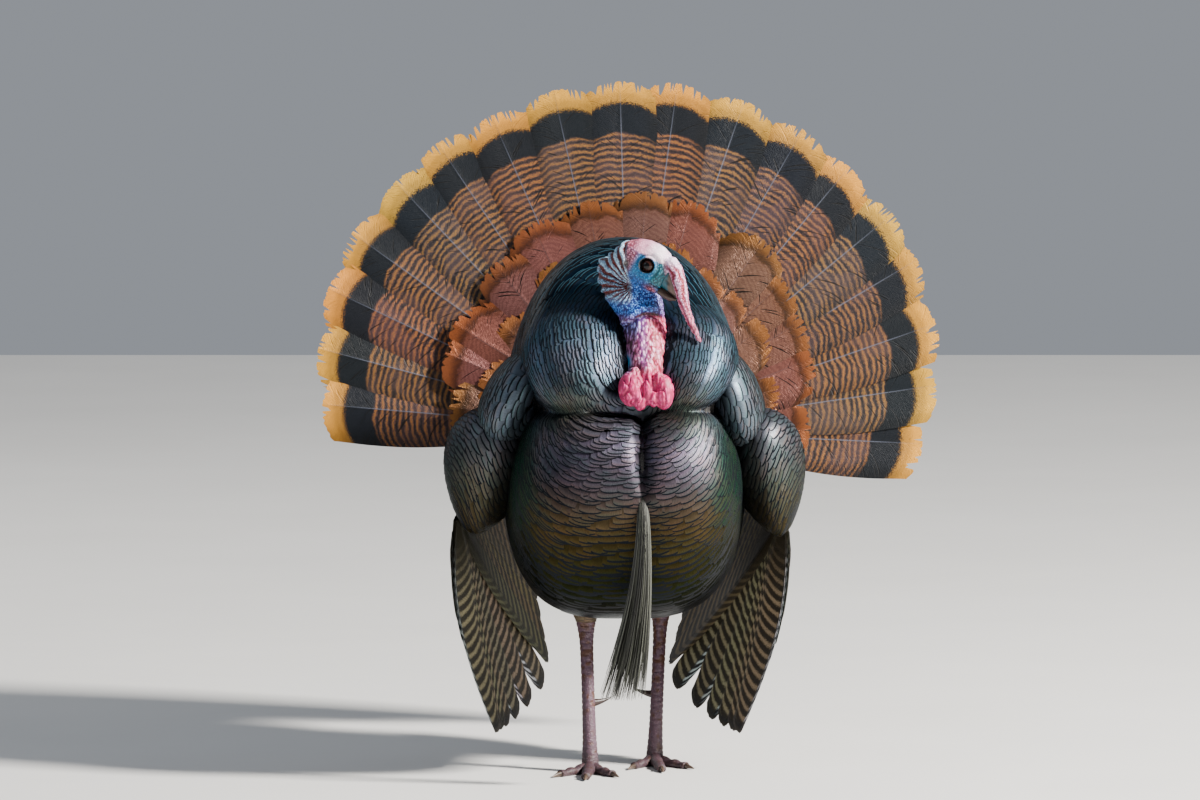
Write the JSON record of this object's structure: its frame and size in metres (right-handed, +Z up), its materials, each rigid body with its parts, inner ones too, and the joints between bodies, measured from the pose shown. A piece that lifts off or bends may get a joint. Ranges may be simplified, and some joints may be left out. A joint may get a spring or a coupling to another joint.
{
  "type": "wild turkey figure",
  "caption": "Life-size still model of a strutting wild turkey tom with its tail fanned, wings lowered and head turned, standing on its feet.",
  "frame": {"origin": "middle of the bounding box, on the floor under the soles", "axes": "+Z up, the bird faces -Y with its left side at +X"},
  "size_m": [0.7514, 0.5504, 0.8093],
  "materials": {
    "body_feathers": "satin body feathers, pewter, bronze and blue-black with a metallic sheen and black tips",
    "belly_feathers": "matt dark olive-brown feathers with black tips and thin buff edges",
    "wing_feathers": "matt flight feathers barred in blackish brown and buff white",
    "tail_feathers": "matt tail feathers, fine rufous and dark bars, black band and buff tip",
    "covert_feathers": "satin chestnut covert feathers with buff-orange fringes",
    "bare_skin": "moist wrinkled bare skin, blue and turquoise face, pink-white crown, red neck and caruncles",
    "horn": "polished brown horn with fine growth lines",
    "eye": "wet dark brown eye with a black pupil",
    "leg_skin": "satin scutes in dull purple-pink with rust edges",
    "beard": "coarse black bristles with a slight gloss"
  },
  "bodies": {
    "root": {"crop": "body_feathers", "mantle": "body_feathers", "rump": "body_feathers", "breast": "body_feathers", "scapular_left": "body_feathers", "scapular_right": "body_feathers", "wing_left_coverts": "body_feathers", "wing_right_coverts": "body_feathers", "belly": "belly_feathers", "vent": "belly_feathers", "thigh_left": "belly_feathers", "thigh_right": "belly_feathers", "wing_left_primaries": "wing_feathers", "wing_left_secondaries": "wing_feathers", "wing_right_primaries": "wing_feathers", "wing_right_secondaries": "wing_feathers", "tail_fan": "tail_feathers", "tail_coverts": "covert_feathers", "undertail_coverts": "covert_feathers", "head": "bare_skin", "neck": "bare_skin", "snood": "bare_skin", "caruncles": "bare_skin", "bill_upper": "horn", "bill_lower": "horn", "spur_left": "horn", "spur_right": "horn", "claw_left_inner": "horn", "claw_left_middle": "horn", "claw_left_outer": "horn", "claw_left_hind": "horn", "claw_right_inner": "horn", "claw_right_middle": "horn", "claw_right_outer": "horn", "claw_right_hind": "horn", "eye_left": "eye", "eye_right": "eye", "shank_left": "leg_skin", "shank_right": "leg_skin", "foot_left": "leg_skin", "foot_right": "leg_skin", "beard": "beard"}
  },
  "joints": []
}
